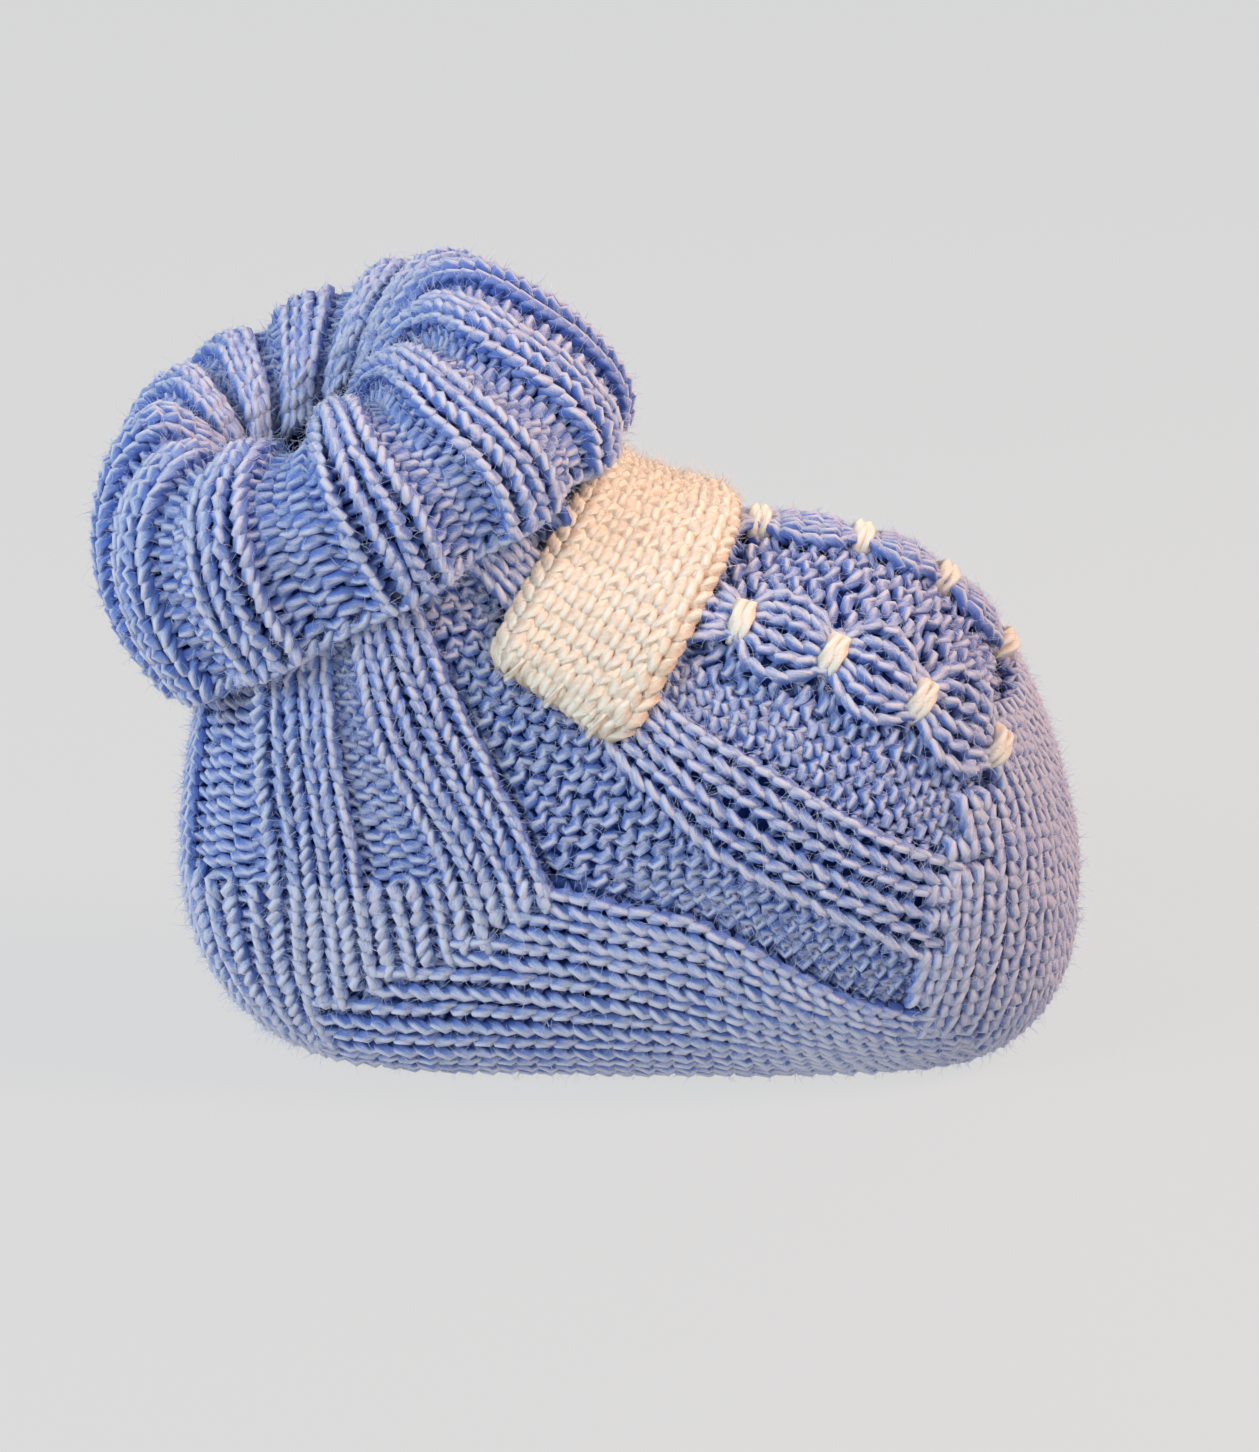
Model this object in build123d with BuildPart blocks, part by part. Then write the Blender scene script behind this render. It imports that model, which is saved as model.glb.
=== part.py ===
"""Hand-knitted baby bootie with a turned-down ribbed cuff, a sewn-on strap and smocking ties.

Millimetres. +X points to the toe, +Z up, +Y to the left. The origin is on the ground under the
middle of the sole. The knitted form is lofted through sections that fan round the ankle, and
its wall is then cut into the knitted sections, which meet edge to edge.
"""
from build123d import *
from math import cos, sin, tau, copysign, hypot
import os

# ---------------------------------------------------------------- driving dimensions
TOE_X = 58.0                # toe tip
HEEL_X = -52.0              # back of the heel, so the foot is 110 long
WALL = 3.0                  # thickness of the knitting
SOLE_WALL = 3.2             # thickness of the knitting under the foot
CUFF_WALL = 4.2             # thickness of the puffy turned-down layer
STRAP_WIDTH = 19.5
STRAP_THICKNESS = 3.0
STRAP_END = (-6.4, 50.0)    # middle of the strap's lower end, side view
STRAP_TOP = (12.0, 78.5)    # where the strap's middle line passes over the ankle, side view
EDGE_DEPTH = 2.4            # depth of the cast-off chain at the hem
TIE_LENGTH = 6.4            # one smocking tie, across the ribs it pinches
TIE_RADIUS = 1.6
STITCH_LENGTH = 5.0         # one sewing stitch at the strap's end
STITCH_RADIUS = 0.8
STITCH_PITCH = 6.0
STITCHES_PER_END = 3
TIE_GAP = 0.25              # air under the middle of a tie, where the foot curves
STITCH_GAP = 0.15           # air under a stitch
SECTION_POINTS = 16         # points on one section curve
UPPER_FULLNESS = 0.94       # 1 is an ellipse, less is fuller
LOWER_FULLNESS = 0.74
OVERSHOOT = 6.0             # how far a cutting shape runs past what it cuts
HALF_SPAN = 45.0            # half the width of a side-view cut, past the body on both sides
CUT_LENGTH = 300.0          # length and height of a cut that passes the whole body
STRAP_REACH = 50.0          # the strap is cut this long from its end, which takes it under the cuff

# Sections of the foot and leg, from toe to leg top: the upper or front point (x, z), the lower
# or back point, and the half-width. They dip below the ground, which cuts the sole flat.
FOOT_SECTIONS = [
    ((TOE_X - 0.4, 26.0), (TOE_X - 0.8, 13.0), 7.0),
    ((TOE_X - 3.0, 35.0), (TOE_X - 4.5, 4.5), 16.0),
    ((49.0, 49.0), (45.5, -1.0), 23.0),
    ((37.5, 60.5), (33.0, -3.0), 27.5),
    ((23.5, 64.5), (16.0, -3.5), 29.0),
    ((12.5, 66.5), (-6.0, -3.5), 28.5),
    ((5.5, 68.5), (-31.0, -2.5), 26.5),
    ((0.5, 71.0), (HEEL_X + 4.0, 8.0), 25.0),
    ((-3.0, 75.0), (HEEL_X, 29.0), 24.0),
    ((-7.0, 81.5), (HEEL_X + 2.5, 46.0), 22.0),
    ((-11.0, 89.0), (HEEL_X + 1.0, 62.0), 20.5),
]

# The hollow inside starts further back, so that the toe has a wall too.
HOLLOW_TOE_SECTION = ((TOE_X - 2.4, 26.5), (TOE_X - 3.6, 11.0), 10.0)

# Sections of the turned-down cuff, from hem to opening.
CUFF_SECTIONS = [
    ((3.0, 77.0), (-54.5, 45.0), 27.5),
    ((3.5, 82.0), (-60.5, 54.0), 28.5),
    ((0.0, 88.5), (-62.5, 67.0), 28.5),
    ((-7.0, 94.0), (-60.0, 76.0), 25.5),
    ((-15.0, 97.0), (-53.5, 81.5), 19.5),
]

# Sections of the cuff's inner layer, from the leg's top to the opening.
INNER_CUFF_SECTIONS = [
    FOOT_SECTIONS[-1],
    ((-14.5, 92.0), (-52.0, 74.0), 18.0),
    ((-19.5, 94.5), (-48.5, 82.0), 13.0),
]

# Side-view corner points (x, z) where the knitted sections meet.
MITRE_BACK_X = -35.0                # heel meets sole underneath
MITRE_LOW = (-34.0, 11.0)           # heel meets sole, low end of the slanted join
MITRE_HIGH = (-7.0, 27.0)           # high end of the slanted join
LEG_CORNER = (-16.0, 57.0)          # lowest front corner of the leg, under the strap's end
VAMP_CORNER = (-9.0, 62.0)          # where the smocked field starts, under the strap
VAMP_MIDDLE = (10.0, 50.5)
VAMP_TOE = (44.0, 29.0)             # where the slanting ribs run out at the toe
SIDE_MIDDLE = (10.0, 23.5)
SIDE_FRONT = (27.0, 13.5)
TOE_SIDE = (38.0, 10.0)             # where sole, slanting ribs and toe meet
TOE_UNDER = (46.0, 0.0)             # front end of the sole
TOE_TOP = (52.0, 56.0)              # front of the smocked field, above the surface
ANKLE_FRONT = (0.0, 78.0)           # front of the ankle, above the surface
BACK_X = -75.0
FRONT_X = 75.0
TOP_Z = 110.0
UNDER_Z = -OVERSHOOT

# Smocking ties (x, y, z): the centre row runs along the top, the side rows are mirror images.
CENTRE_TIES = [(18.5, 0.0), (31.0, 0.0), (41.0, 0.0), (48.5, 0.0)]
SIDE_TIES = [(16.0, 18.5), (26.9, 20.7), (37.2, 21.5), (46.5, 18.8)]
TIE_SLOPE = 20.0                    # the further out a tie is, the steeper it lies round the foot


# ---------------------------------------------------------------- shared shapes
def section_plane(front, back):
    """Plane through a section's two end points, square to the side view."""
    run = front[0] - back[0]
    rise = front[1] - back[1]
    middle = ((front[0] + back[0]) / 2, 0, (front[1] + back[1]) / 2)
    return Plane(origin=middle, x_dir=(0, 1, 0), z_dir=(rise, 0, -run))


def section_curve(half_height, half_width):
    """Points of a rounded section, fuller in its lower half, where the sole is."""
    points = []
    for index in range(SECTION_POINTS):
        turn = tau * (index + 0.5) / SECTION_POINTS
        fullness = UPPER_FULLNESS if cos(turn) > 0 else LOWER_FULLNESS
        height = half_height * copysign(abs(cos(turn)) ** fullness, cos(turn))
        width = half_width * copysign(abs(sin(turn)) ** fullness, sin(turn))
        points.append((width, height))
    return points


def lofted(sections, inset=0.0):
    """Smooth solid through the sections, each made smaller all round by the inset."""
    with BuildPart() as form:
        for front, back, half_width in sections:
            half_height = hypot(front[0] - back[0], front[1] - back[1]) / 2
            with BuildSketch(section_plane(front, back)):
                with BuildLine():
                    Spline(*section_curve(half_height - inset, half_width - inset), periodic=True)
                make_face()
        loft()
    return form.part


def lengthened(sections, distance):
    """The sections with one more, past the last, so that a hollow opens at that end."""
    front, back, half_width = sections[-1]
    normal = section_plane(front, back).z_dir
    step_x = -normal.X * distance
    step_z = -normal.Z * distance
    beyond = ((front[0] + step_x, front[1] + step_z), (back[0] + step_x, back[1] + step_z), half_width)
    return sections + [beyond]


def side_cut(corners):
    """Prism across the whole width over a side-view outline."""
    with BuildPart() as prism:
        with BuildSketch(Plane.XZ):
            with BuildLine():
                Polyline(*corners, close=True)
            make_face()
        extrude(amount=HALF_SPAN, both=True)
    return prism.part


def one_side(side):
    """Half space on the left (+1) or the right (-1) of the middle."""
    align_y = Align.MIN if side > 0 else Align.MAX
    with BuildPart() as half:
        Box(CUT_LENGTH, HALF_SPAN, CUT_LENGTH, align=(Align.CENTER, align_y, Align.CENTER))
    return half.part


def yarn_bar(length, radius):
    """Round-ended bar of yarn along X."""
    with BuildPart() as bar:
        with BuildSketch(Plane.XY):
            SlotOverall(length, 2 * radius)
            Rectangle(length, radius, align=(Align.CENTER, Align.MIN), mode=Mode.INTERSECT)
        revolve(axis=Axis.X)
    return bar.part


def finished(part, name):
    """Label a piece and write it to its own file."""
    part.label = name
    export_step(part, f"parts/{name}.step")
    print(name, len(part.solids()), round(part.volume), part.is_valid)


os.makedirs("parts", exist_ok=True)

# ---------------------------------------------------------------- the knitted wall of foot and leg
outer_form = lofted(FOOT_SECTIONS)
hollow_form = lofted([HOLLOW_TOE_SECTION] + lengthened(FOOT_SECTIONS, OVERSHOOT)[1:], WALL)

with BuildPart() as hollow:
    add(hollow_form)
    split(bisect_by=Plane.XY.offset(SOLE_WALL), keep=Keep.TOP)

with BuildPart() as wall:
    add(outer_form)
    split(bisect_by=Plane.XY, keep=Keep.TOP)
    add(hollow.part, mode=Mode.SUBTRACT)

SECTION_OUTLINES = {
    "leg_ribbing": [
        (BACK_X, MITRE_HIGH[1]), MITRE_HIGH, LEG_CORNER, VAMP_CORNER, ANKLE_FRONT,
        (FRONT_X, TOP_Z), (BACK_X, TOP_Z),
    ],
    "heel_cup": [
        (BACK_X, UNDER_Z), (MITRE_BACK_X, UNDER_Z), MITRE_LOW, MITRE_HIGH, (BACK_X, MITRE_HIGH[1]),
    ],
    "foot_sole": [
        (MITRE_BACK_X, UNDER_Z), (TOE_UNDER[0], UNDER_Z), TOE_UNDER, TOE_SIDE, SIDE_FRONT,
        SIDE_MIDDLE, MITRE_HIGH, MITRE_LOW,
    ],
    "smocked_vamp": [
        VAMP_CORNER, VAMP_MIDDLE, VAMP_TOE, TOE_TOP, (FRONT_X, TOP_Z), ANKLE_FRONT,
    ],
    "toe_cap": [
        (TOE_UNDER[0], UNDER_Z), (FRONT_X, UNDER_Z), (FRONT_X, TOP_Z), TOE_TOP, VAMP_TOE, TOE_SIDE,
        TOE_UNDER,
    ],
}
SLANTING_RIBS = [
    MITRE_HIGH, SIDE_MIDDLE, SIDE_FRONT, TOE_SIDE, VAMP_TOE, VAMP_MIDDLE, VAMP_CORNER, LEG_CORNER,
]

for section_name, corners in SECTION_OUTLINES.items():
    with BuildPart() as section:
        add(wall.part)
        add(side_cut(corners), mode=Mode.INTERSECT)
    finished(section.part, section_name)

for side, side_name in ((1, "left"), (-1, "right")):
    with BuildPart() as ribbing:
        add(wall.part)
        add(side_cut(SLANTING_RIBS), mode=Mode.INTERSECT)
        add(one_side(side), mode=Mode.INTERSECT)
    finished(ribbing.part, f"instep_ribbing_{side_name}")

# ---------------------------------------------------------------- the cuff
with BuildPart() as whole_cuff:
    add(lofted(CUFF_SECTIONS))
    add(lofted(lengthened(CUFF_SECTIONS, OVERSHOOT), CUFF_WALL), mode=Mode.SUBTRACT)

hem_plane = section_plane(*CUFF_SECTIONS[0][:2])
edge_plane = hem_plane.offset(-EDGE_DEPTH)

with BuildPart() as cast_off_edge:
    add(whole_cuff.part)
    split(bisect_by=edge_plane, keep=Keep.TOP)
finished(cast_off_edge.part, "cast_off_edge")

with BuildPart() as cuff_turn_down:
    add(whole_cuff.part)
    split(bisect_by=edge_plane, keep=Keep.BOTTOM)
finished(cuff_turn_down.part, "cuff_turn_down")

with BuildPart() as cuff_inner:
    add(lofted(INNER_CUFF_SECTIONS))
    add(lofted(lengthened(INNER_CUFF_SECTIONS, OVERSHOOT), WALL), mode=Mode.SUBTRACT)
finished(cuff_inner.part, "cuff_inner")

# ---------------------------------------------------------------- the strap and its sewing
strap_run = Vector(STRAP_TOP[0] - STRAP_END[0], STRAP_TOP[1] - STRAP_END[1]).normalized()
strap_across = Vector(strap_run.Y, -strap_run.X)


def strap_point(along, across):
    """Side-view point (x, z) at a distance along the strap and across it from its end's middle."""
    x = STRAP_END[0] + strap_run.X * along + strap_across.X * across
    z = STRAP_END[1] + strap_run.Y * along + strap_across.Y * across
    return (x, z)


strap_outline = [
    strap_point(0, -STRAP_WIDTH / 2), strap_point(0, STRAP_WIDTH / 2),
    strap_point(STRAP_REACH, STRAP_WIDTH / 2), strap_point(STRAP_REACH, -STRAP_WIDTH / 2),
]

strap_form = lofted(FOOT_SECTIONS[2:], -STRAP_THICKNESS)

with BuildPart() as ankle_strap:
    add(strap_form)
    add(outer_form, mode=Mode.SUBTRACT)
    add(side_cut(strap_outline), mode=Mode.INTERSECT)
    add(lofted(CUFF_SECTIONS), mode=Mode.SUBTRACT)
finished(ankle_strap.part, "ankle_strap")


def outermost(form, start, direction):
    """Where a line from inside the form leaves it, and the way that the surface faces there."""
    line = Axis(start, direction)
    hits = form.find_intersection_points(line)
    return max(hits, key=lambda hit: hit[0].dot(line.direction))


def lying_on(form, start, direction, along, height):
    """Plane at a height above the form's surface, its X axis turned to lie along a direction."""
    point, normal = outermost(form, start, direction)
    across = normal.cross(Vector(*along))
    return Plane(point + normal * height, x_dir=across.cross(normal), z_dir=normal)


stitch = yarn_bar(STITCH_LENGTH, STITCH_RADIUS)

for side, side_name in ((1, "left"), (-1, "right")):
    with BuildPart() as strap_stitches:
        for index in range(STITCHES_PER_END):
            across = (index - (STITCHES_PER_END - 1) / 2) * STITCH_PITCH
            x, z = strap_point(STITCH_LENGTH / 2, across)
            up_strap = (strap_run.X, 0, strap_run.Y)
            height = STITCH_RADIUS + STITCH_GAP
            add(lying_on(strap_form, (x, 0, z), (0, side, 0), up_strap, height) * stitch)
    finished(strap_stitches.part, f"strap_stitches_{side_name}")

# ---------------------------------------------------------------- the smocking ties
tie = yarn_bar(TIE_LENGTH, TIE_RADIUS)

for row_name, spots, side in (("left", SIDE_TIES, 1), ("centre", CENTRE_TIES, 1), ("right", SIDE_TIES, -1)):
    with BuildPart() as ties:
        for x, y in spots:
            around_foot = (0, 1, -side * y / TIE_SLOPE)
            height = TIE_RADIUS + TIE_GAP
            add(lying_on(outer_form, (x, side * y, 0), (0, 0, 1), around_foot, height) * tie)
    finished(ties.part, f"smocking_ties_{row_name}")
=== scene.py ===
"""Looks of a hand-knitted baby bootie, stitch by stitch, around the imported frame.

Lengths in this script are millimetres and become metres when a mesh is made. Every knitted
section is real yarn: one tube for each row of stitches, looped through the rows beside it.
"""

from math import cos, pi, radians, sin, tau

import bpy
import numpy as np
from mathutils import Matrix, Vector
from mathutils.bvhtree import BVHTree


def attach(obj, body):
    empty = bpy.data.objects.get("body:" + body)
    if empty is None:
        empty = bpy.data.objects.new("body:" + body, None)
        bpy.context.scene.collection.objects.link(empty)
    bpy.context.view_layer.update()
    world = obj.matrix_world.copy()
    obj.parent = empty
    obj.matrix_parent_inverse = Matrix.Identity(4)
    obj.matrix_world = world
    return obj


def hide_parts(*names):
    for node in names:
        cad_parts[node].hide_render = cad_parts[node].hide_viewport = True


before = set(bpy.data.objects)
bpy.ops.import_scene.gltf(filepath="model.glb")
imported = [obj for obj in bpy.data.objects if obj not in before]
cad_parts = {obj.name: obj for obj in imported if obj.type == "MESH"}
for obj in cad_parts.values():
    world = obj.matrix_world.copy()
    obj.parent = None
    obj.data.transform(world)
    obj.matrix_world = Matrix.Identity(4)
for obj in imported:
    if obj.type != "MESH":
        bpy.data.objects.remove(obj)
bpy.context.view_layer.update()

MM = 0.001

# ------------ yarn and stitches
YARN_RADIUS = 0.70                      # on the instep; sections with fuller yarn give their own
YARN_SIDES = 8
END_TAPER = 0.35                        # share of the yarn's thickness that is left at a cut end
PLIES = 3
PLY_DEPTH = 0.15                        # how far the plies stand out, as a share of the radius
PLY_TURN = 0.62                         # radians of twist for each millimetre of yarn
TONE_SPAN = 37.0                        # rows start this far apart, at most, in the fibres' pattern
SAMPLES = 11                            # points along the yarn of one stitch
LOOP_RISE = 0.84                        # half height of a loop, in rows
LOOP_LEAN = 0.175                       # how far a loop's legs lean apart, in columns
LOOP_SPREAD = 0.03                      # how far the legs stand away from the column's middle
LOOP_DEPTH = 0.95                       # half depth of a loop, front to back
SQUEEZED, SWOLLEN = 0.84, 0.26          # yarn thins where loops cross and swells on the face
LEVEL_SHARE, FACING_SHARE = 0.5, 1.8    # painted shade deeper in the fabric and painted highlight on yarn that faces out
FACING_POWER = 1.5
PLACE_WANDER, HEIGHT_WANDER, DEPTH_WANDER = 0.05, 0.08, 0.10   # hand knitting is a little uneven
BOW = 1.6                               # how much of the loop's depth the bend of its legs takes
PURL_LIFT = 1.25                        # purl stitches get stronger painted highlight on their bumps and painted shade beside them
END_TUCK, END_TUCK_REACH = 1.3, 0.2     # a row's last stitch turns down into the fabric
MID_DEPTH = -1.15                       # the loops' middle lies this far under the CAD surface
RIB_RELIEF = 0.75                       # knit columns stand out and purl columns sink by this much
PURL_SHADE = 0.35                       # purl columns, which sink between the knit ones, get this much painted shade
LINING_DEPTH, LINING_THICKNESS = -2.6, 0.5
FORM_CENTRE = np.array([-12.0, 0.0, 34.0])   # a point that sees the whole wall from inside
# rays towards the body start this far out, past every part of it
SIDE_START, TOP_START, FORM_START, STRAP_START = 120, 200, 160, 100
SMOOTHING_PASSES = 3                    # over the points of each patch

BODY_NODES = (
    "leg_ribbing", "heel_cup", "foot_sole", "smocked_vamp", "toe_cap",
    "instep_ribbing_left", "instep_ribbing_right", "cuff_inner",
)


def read_all(items, key, width=3, kind=float):
    """One property of all of a mesh's vertices or the like, a row for each."""
    flat = np.empty(len(items) * width, kind)
    items.foreach_get(key, flat)
    return flat.reshape(-1, width)


def node_tree(names):
    """Search tree over the surfaces of some CAD nodes, in millimetres."""
    points, triangles = [], []
    for name in names:
        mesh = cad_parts[name].data
        mesh.calc_loop_triangles()
        triangles.extend((read_all(mesh.loop_triangles, "vertices", kind=np.int64) + len(points)).tolist())
        points.extend((read_all(mesh.vertices, "co") / MM).tolist())
    return BVHTree.FromPolygons(points, triangles)


body_tree = node_tree(BODY_NODES)


def first_hit(start, direction):
    """Where a line from outside first meets the body."""
    place = body_tree.ray_cast(Vector(start), Vector(direction))[0]
    if place is None:
        place = body_tree.find_nearest(Vector(start))[0]
    return np.array(place)


def on_side(x, z):
    """Place on the near side of the body."""
    return first_hit((x, -SIDE_START, z), (0, 1, 0))


def on_top(x, y):
    return first_hit((x, y, TOP_START), (0, 0, -1))


def onto_body(points):
    """Points moved along lines from the form's centre until they lie on its outside."""
    out = np.empty_like(points)
    flat_in, flat_out = points.reshape(-1, 3), out.reshape(-1, 3)
    for index, point in enumerate(flat_in):
        away = point - FORM_CENTRE
        away /= np.linalg.norm(away)
        flat_out[index] = first_hit(FORM_CENTRE + away * FORM_START, -away)
    return out


# ------------ curves and patches
def hermite(knots, values, places):
    """Smooth curve through values at uneven knots, read at the places."""
    knots = np.asarray(knots, float)
    values = np.asarray(values, float)
    slopes = np.gradient(values, knots, axis=0)
    cell = np.clip(np.searchsorted(knots, places, side="right") - 1, 0, len(knots) - 2)
    width = knots[cell + 1] - knots[cell]
    t = (places - knots[cell]) / width
    shape = (-1,) + (1,) * (values.ndim - 1)
    t, width = t.reshape(shape), width.reshape(shape)
    t2, t3 = t * t, t * t * t
    return (
        values[cell] * (2 * t3 - 3 * t2 + 1) + slopes[cell] * width * (t3 - 2 * t2 + t)
        + values[cell + 1] * (3 * t2 - 2 * t3) + slopes[cell + 1] * width * (t3 - t2)
    )


def evenly(points, count):
    """A smooth line through the points, cut into evenly spaced ones."""
    points = np.asarray(points, float)
    chords = np.linalg.norm(np.diff(points, axis=0), axis=1)
    knots = np.concatenate([[0], np.cumsum(chords)])
    fine = hermite(knots, points, np.linspace(0, knots[-1], 40 * len(points)))
    steps = np.concatenate([[0], np.cumsum(np.linalg.norm(np.diff(fine, axis=0), axis=1))])
    wanted = np.linspace(0, steps[-1], count)
    return np.stack([np.interp(wanted, steps, fine[:, axis]) for axis in range(3)], axis=1)


def unit(vectors):
    return vectors / np.maximum(np.linalg.norm(vectors, axis=-1, keepdims=True), 1e-9)


class Patch:
    """A stretch of surface ruled into columns (u) and rows (v)."""

    def __init__(self, columns, rows, points):
        self.columns, self.rows = columns, rows
        for _ in range(SMOOTHING_PASSES):
            around = points[:-2, 1:-1] + points[2:, 1:-1] + points[1:-1, :-2] + points[1:-1, 2:]
            points[1:-1, 1:-1] = points[1:-1, 1:-1] * 0.5 + around * 0.125
        self.points = points
        normals = unit(np.cross(np.gradient(points, axis=0), np.gradient(points, axis=1)))
        flip = np.sign(np.sum(normals * (points - FORM_CENTRE), axis=-1).mean())
        self.normals = normals * flip

    def read(self, grid, u, v):
        """Values between the points of a grid over the patch."""
        count_u, count_v = grid.shape[:2]
        x = np.clip((u - self.columns[0]) / (self.columns[1] - self.columns[0]), 0, 1) * (count_u - 1)
        y = np.clip(v / self.rows, 0, 1) * (count_v - 1)
        column = np.minimum(x.astype(int), count_u - 2)
        row = np.minimum(y.astype(int), count_v - 2)
        s, t = (x - column)[..., None], (y - row)[..., None]
        return (
            grid[column, row] * (1 - s) * (1 - t) + grid[column + 1, row] * s * (1 - t)
            + grid[column, row + 1] * (1 - s) * t + grid[column + 1, row + 1] * s * t
        )

    def at(self, u, v):
        """Places and outward facings of the surface at some columns and rows."""
        return self.read(self.points, u, v), unit(self.read(self.normals, u, v))


def as_drawn(points):
    """The guide lines' own surface, for sections that don't lie on the body."""
    return points


def guided_patch(guides, rows, finish=onto_body, per_stitch=2):
    """Patch from guide lines: a list of (column, points along the knitting direction)."""
    count_v = rows * per_stitch + 1
    first, last = guides[0][0], guides[-1][0]
    count_u = int(round((last - first) * per_stitch)) + 1
    lines = [evenly(points, count_v) for _, points in guides]
    grid = hermite([column for column, _ in guides], lines, np.linspace(first, last, count_u))
    return Patch((first, last), rows, finish(grid))


def mirrored(points):
    return [np.array([x, -y, z]) for x, y, z in points]


def both_sides(half_guides):
    """Guides from the middle out to one side, repeated on the other side."""
    other = [(-column, mirrored(points)) for column, points in reversed(half_guides) if column > 0]
    return other + half_guides


def inside(outline, x, z):
    """Which points of the side view lie inside an outline."""
    result = np.zeros(np.shape(x), bool)
    for (x0, z0), (x1, z1) in zip(outline, outline[1:] + outline[:1]):
        if z0 == z1:
            continue
        crosses = (z0 > z) != (z1 > z)
        result ^= crosses & (x < (x1 - x0) * (z - z0) / (z1 - z0) + x0)
    return result


# ------------ yarn to mesh
def shown(name, mesh, material):
    """Object for a finished mesh."""
    mesh.materials.append(material)
    piece = bpy.data.objects.new(name, mesh)
    bpy.context.scene.collection.objects.link(piece)
    return piece


def tube_faces(rings, sides):
    """Quads between the rings of a tube, by the numbers of its points."""
    row = np.arange(rings - 1)[:, None] * sides
    column = np.arange(sides)[None, :]
    after = (column + 1) % sides
    return np.stack([row + column, row + after, row + after + sides, row + column + sides], -1).reshape(-1, 4)


class Yarn:
    """Collects tubes of plied yarn and turns them into one closed mesh."""

    def __init__(self):
        self.points, self.faces, self.marks, self.heights, self.caps = [], [], [], [], []
        self.count = 0

    def add(self, path, normals, heights, radius=YARN_RADIUS, tone=0.0, taper=(True, True), start=0.0):
        """One length of yarn along a path, and how far along the yarn it ends."""
        count = len(path)
        tangents = unit(np.gradient(path, axis=0))
        side = unit(np.cross(tangents, normals))
        up = np.cross(side, tangents)
        steps = start + np.concatenate([[0], np.cumsum(np.linalg.norm(np.diff(path, axis=0), axis=1))])
        angles = np.arange(YARN_SIDES) * tau / YARN_SIDES
        twisted = angles[None, :] - steps[:, None] * PLY_TURN
        size = np.reshape(radius, (-1, 1)) * (1 + PLY_DEPTH * np.cos(PLIES * twisted))
        if taper[0]:
            size[0] *= END_TAPER
        if taper[1]:
            size[-1] *= END_TAPER
        ring = (
            up[:, None, :] * (np.cos(angles)[None, :] * size)[..., None]
            + side[:, None, :] * (np.sin(angles)[None, :] * size)[..., None]
        )
        self.points.append((path[:, None, :] + ring).reshape(-1, 3))
        along = np.repeat(steps[:, None], YARN_SIDES, 1) + tone * TONE_SPAN
        self.marks.append(np.stack([along, np.cos(twisted), np.sin(twisted)], -1).reshape(-1, 3))
        # painted light: the side of the yarn facing out of the fabric gets painted highlight, the side facing
        # in painted shade, over the given level
        facing = np.cos(angles) * np.abs(np.cos(angles)) ** FACING_POWER
        painted_light = heights[:, None] * LEVEL_SHARE + facing[None, :] * FACING_SHARE
        self.heights.append(painted_light.reshape(-1))
        self.faces.append(tube_faces(count, YARN_SIDES) + self.count)
        last = (count - 1) * YARN_SIDES
        for base, order in ((0, -1), (last, 1)):
            self.caps.append((np.arange(YARN_SIDES)[::order] + base + self.count).tolist())
        self.count += count * YARN_SIDES
        return steps[-1]

    def piece(self, name, material):
        """All the collected yarn as one object."""
        points = np.concatenate(self.points) * MM
        quads = np.concatenate(self.faces)
        caps = np.array(self.caps)
        corners = np.concatenate([quads.ravel(), caps.ravel()])
        sizes = np.concatenate([np.full(len(quads), 4), np.full(len(caps), YARN_SIDES)])
        starts = np.concatenate([[0], np.cumsum(sizes)[:-1]])
        mesh = bpy.data.meshes.new(name)
        mesh.vertices.add(len(points))
        mesh.vertices.foreach_set("co", points.ravel())
        mesh.loops.add(len(corners))
        mesh.loops.foreach_set("vertex_index", corners.astype(np.int32))
        mesh.polygons.add(len(starts))
        mesh.polygons.foreach_set("loop_start", starts.astype(np.int32))
        mesh.update(calc_edges=True)
        mesh.validate()
        mesh.shade_smooth()
        along = mesh.attributes.new("yarn", "FLOAT_VECTOR", "POINT")
        along.data.foreach_set("vector", np.concatenate(self.marks).ravel())
        # the height attribute carries the painted light and shade level that the wool's colour ramp reads
        height = mesh.attributes.new("height", "FLOAT", "POINT")
        height.data.foreach_set("value", np.concatenate(self.heights))
        return shown(name, mesh, material)


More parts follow.
